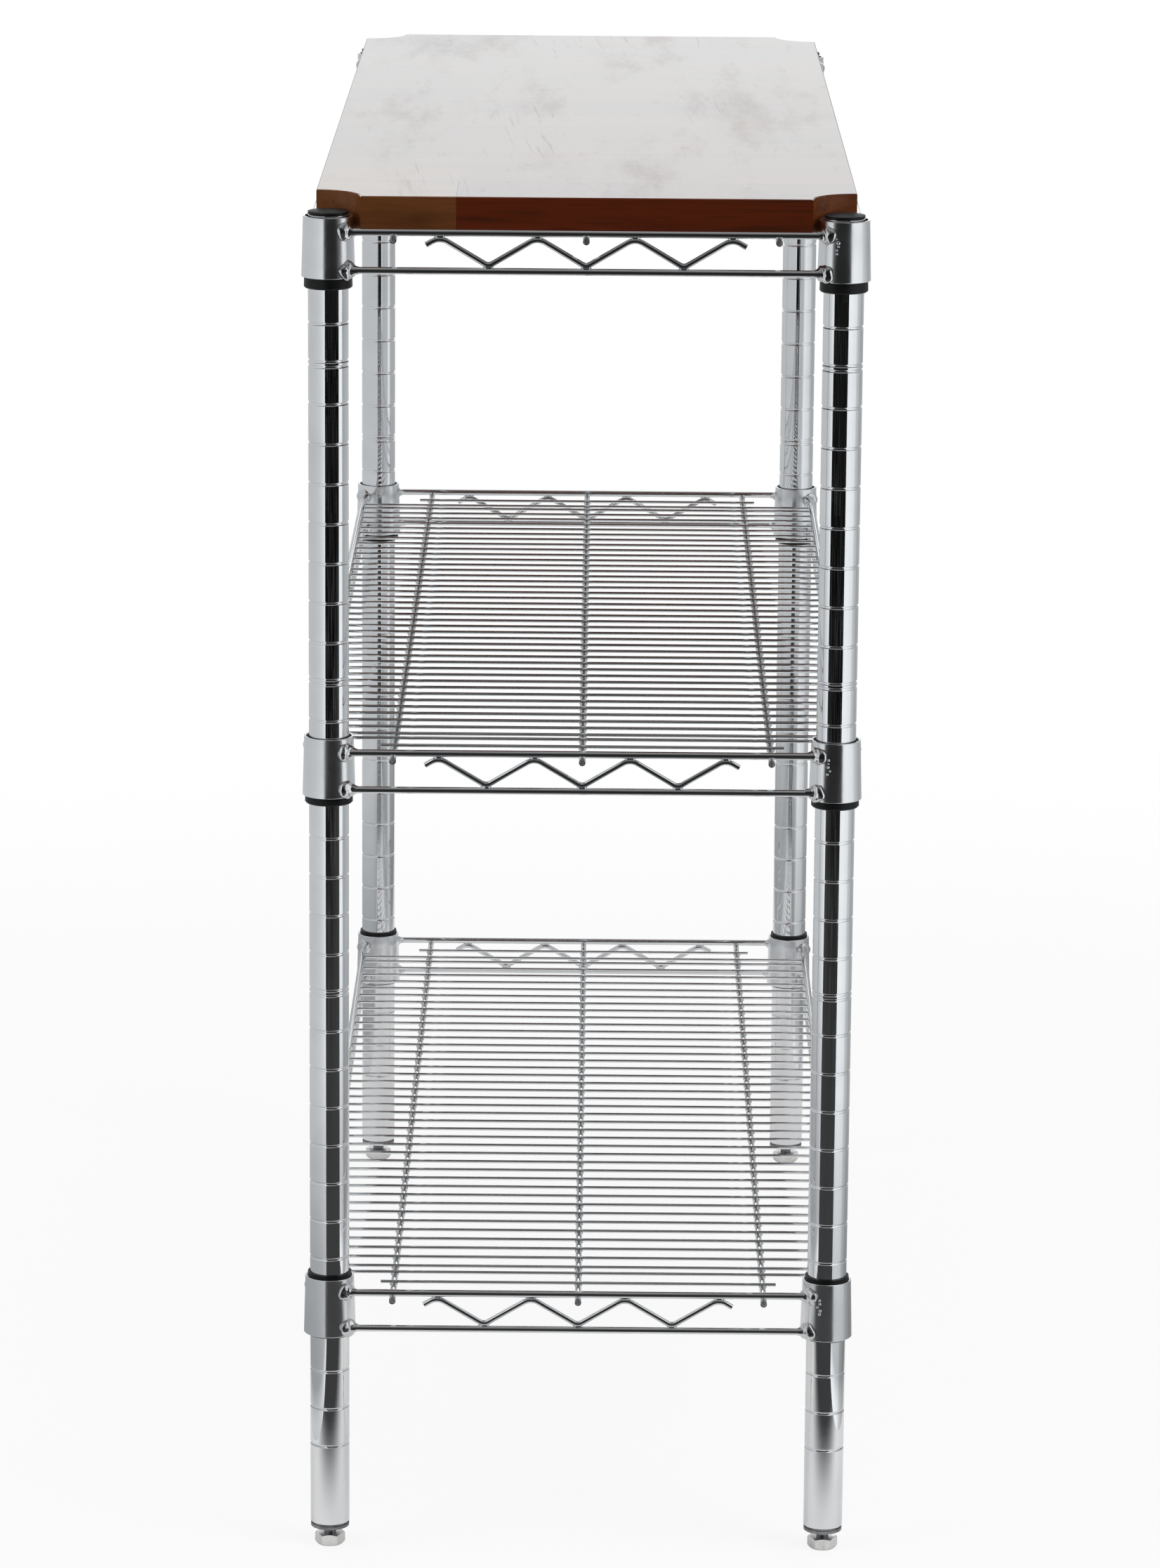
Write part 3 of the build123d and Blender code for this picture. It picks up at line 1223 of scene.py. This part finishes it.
@dataclass(frozen=True)
class StudioWorld:
    """White background, with a dark front and a dim ceiling for the chrome to mirror."""

    back: Span = (0.10, 0.70)
    back_glow: float = 0.50
    flank: Span = (0.62, 0.86)
    flank_glow: float = 0.55
    ceiling_glow: float = 0.34
    ceiling_fall: float = 2.2
    front_glow: float = 0.016
    soft_light: float = 0.55

    def build(self) -> None:
        """Set up the world's light."""
        world = bpy.data.worlds.new("studio")
        world.use_nodes = True
        bpy.context.scene.world = world
        bench = NodeBench(world.node_tree)
        parts = bench.split(bench.place("Generated"))
        back = bench.ramp(parts["Y"], self.back, (0.0, self.back_glow))
        width = bench.math("ABSOLUTE", parts["X"])
        flank = bench.ramp(width, self.flank, (0.0, self.flank_glow))
        height = bench.math("MAXIMUM", parts["Z"], 0.0)
        steep = bench.math("POWER", height, self.ceiling_fall)
        above = bench.math("MULTIPLY", steep, self.ceiling_glow)
        level = bench.math("MAXIMUM", flank, self.front_glow)
        glow = bench.math("MAXIMUM", bench.math("MAXIMUM", back, above), level)
        ray = bench.add("ShaderNodeLightPath").outputs
        seen = bench.math("MAXIMUM", ray["Is Camera Ray"], ray["Is Transmission Ray"])
        mirrored = ray["Is Glossy Ray"]
        soft = bench.math("MULTIPLY", bench.invert(mirrored), self.soft_light)
        lit = bench.math("ADD", bench.math("MULTIPLY", glow, mirrored), soft)
        strength = bench.math("MAXIMUM", lit, seen)
        background = world.node_tree.nodes["Background"]
        bench.feed_all(background, {"Color": WHITE, "Strength": strength})


@dataclass(frozen=True)
class GlowCard:
    """Glowing card that stands beside the island, and that only metal and lacquer mirror."""

    name: str
    across: float
    stops: tuple[Span, ...]
    height: float = 0.84
    middle: float = 0.465
    tint: Colour = (0.955, 0.985, 1.0)
    fade: Span = (0.10, 0.32)
    fade_level: Span = (0.62, 1.0)
    foot: Span = (0.05, 0.12)
    foot_level: Span = (1.05, 0.0)

    def build(self) -> None:
        """Stand the card on its place."""
        mesh = bmesh.new()
        bmesh.ops.create_grid(mesh, x_segments=1, y_segments=1, size=0.5)
        turn = Matrix.Rotation(math.radians(90), 4, "Y")
        bmesh.ops.transform(mesh, matrix=turn, verts=mesh.verts)
        front, rear = self.stops[0][0], self.stops[-1][0]
        bmesh.ops.scale(mesh, vec=(1.0, rear - front, self.height), verts=mesh.verts)
        place = (self.across, (front + rear) / 2, self.middle)
        bmesh.ops.translate(mesh, vec=place, verts=mesh.verts)
        card = add_object(self.name, mesh, self.material())
        card.visible_camera = False
        card.visible_diffuse = False
        card.visible_shadow = False
        card.visible_transmission = False

    def material(self) -> bpy.types.Material:
        """Build the glow, which follows the stops along Y and fades towards the floor.

        Returns:
            The material.
        """
        material, bench, _ = start_material(self.name)
        parts = bench.split(bench.place())
        level: object = self.stops[0][1]
        for (start, before), (end, after) in zip(self.stops, self.stops[1:]):
            change = bench.ramp(parts["Y"], (start, end), (0.0, after - before))
            level = bench.math("ADD", level, change)
        fade = bench.ramp(parts["Z"], self.fade, self.fade_level)
        foot = bench.ramp(parts["Z"], self.foot, self.foot_level)
        strength = bench.math("MULTIPLY", level, bench.math("MAXIMUM", fade, foot))
        glow = bench.add("ShaderNodeEmission", {"Color": (*self.tint, 1.0), "Strength": strength})
        outlet = material.node_tree.nodes["Material Output"]
        bench.feed_all(outlet, {"Surface": glow.outputs["Emission"]})
        return material


@dataclass(frozen=True)
class LightPanel:
    """Soft light panel that hangs free and faces a point."""

    name: str
    place: Triple
    size: Span
    power: float
    aim: Triple = (0.0, 0.0, 0.45)
    tint: Colour = (0.945, 0.985, 1.0)
    mirrored: bool = False

    def build(self) -> None:
        """Hang the panel."""
        lamp = bpy.data.lights.new(self.name, "AREA")
        lamp.shape = "RECTANGLE"
        lamp.size, lamp.size_y = self.size
        lamp.energy = self.power
        lamp.color = self.tint
        holder = bpy.data.objects.new(self.name, lamp)
        bpy.context.scene.collection.objects.link(holder)
        holder.location = self.place
        facing = Vector(self.aim) - Vector(self.place)
        holder.rotation_euler = facing.to_track_quat("-Z", "Y").to_euler()
        holder.visible_camera = False
        holder.visible_glossy = self.mirrored


@dataclass(frozen=True)
class PhotoCamera:
    """Camera where the photograph was taken from, as it was fitted to the posts' rings."""

    focal_px: float = 8949.6
    place: Triple = (0.0094, -4.3321, 1.4221)
    yaw: float = math.radians(-0.158)
    pitch: float = math.radians(13.181)
    roll: float = math.radians(0.448)
    sensor: float = 36.0
    sight: float = 100.0

    def build(self) -> None:
        """Set up the camera."""
        data = bpy.data.cameras.new("photo_camera")
        data.sensor_fit = "HORIZONTAL"
        data.sensor_width = self.sensor
        data.lens = self.focal_px / IMAGE_WIDTH * self.sensor
        data.clip_end = self.sight
        camera = bpy.data.objects.new("photo_camera", data)
        bpy.context.scene.collection.objects.link(camera)
        ahead = Vector((
            math.sin(self.yaw) * math.cos(self.pitch),
            math.cos(self.yaw) * math.cos(self.pitch),
            -math.sin(self.pitch),
        ))
        level = Vector((math.cos(self.yaw), -math.sin(self.yaw), 0.0))
        upward = level.cross(ahead)
        across = math.cos(self.roll) * level + math.sin(self.roll) * upward
        upward = math.cos(self.roll) * upward - math.sin(self.roll) * level
        turn = Matrix((across, upward, -ahead)).transposed()
        camera.matrix_world = Matrix.Translation(self.place) @ turn.to_4x4()
        bpy.context.scene.camera = camera


@dataclass(frozen=True)
class Studio:
    """Floor, light and camera."""

    cards: tuple[GlowCard, ...] = (
        GlowCard("left_card", -0.25, ((-0.73, 0.92), (-0.43, 0.60), (1.6, 0.575))),
        GlowCard("right_card", 0.28, (
            (-0.66, 1.0), (-0.55, 1.0), (-0.48, 0.92), (-0.44, 0.60), (-0.38, 0.42), (-0.24, 0.50),
            (0.22, 0.52), (0.32, 0.90), (0.40, 0.80), (0.48, 0.46), (1.6, 0.44),
        )),
    )
    panels: tuple[LightPanel, ...] = (
        LightPanel("key_panel", (2.4, -1.6, 2.2), (1.8, 1.8), 38.0),
        LightPanel("fill_panel", (-2.4, -1.2, 1.6), (1.8, 1.8), 20.0),
        LightPanel("top_panel", (0.0, 0.2, 3.0), (2.2, 2.2), 10.0),
        LightPanel(
            "back_panel", (0.0, 3.4, 1.6), (4.2, 1.3), 15.0,
            aim=(0.0, 0.0, 1.6), tint=(0.915, 0.985, 1.0), mirrored=True,
        ),
    )

    def build(self) -> None:
        """Set up everything around the island."""
        for item in (PaleFloor(), StudioWorld(), *self.cards, *self.panels, PhotoCamera()):
            item.build()
        bpy.context.scene.view_settings.view_transform = "Standard"


def main() -> None:
    """Dress the frame, add the modelled detail and set up the studio."""
    logging.basicConfig(level=logging.INFO, format="%(message)s")
    rack = FinishRack()
    rack.dress_frame()
    for shelf in Shelf:
        for detail in SHELF_DETAILS:
            detail(shelf).build(rack)
    for corner in Corner:
        ThreadedStud(corner).build(rack)
    Studio().build()


if __name__ == "__main__":
    main()
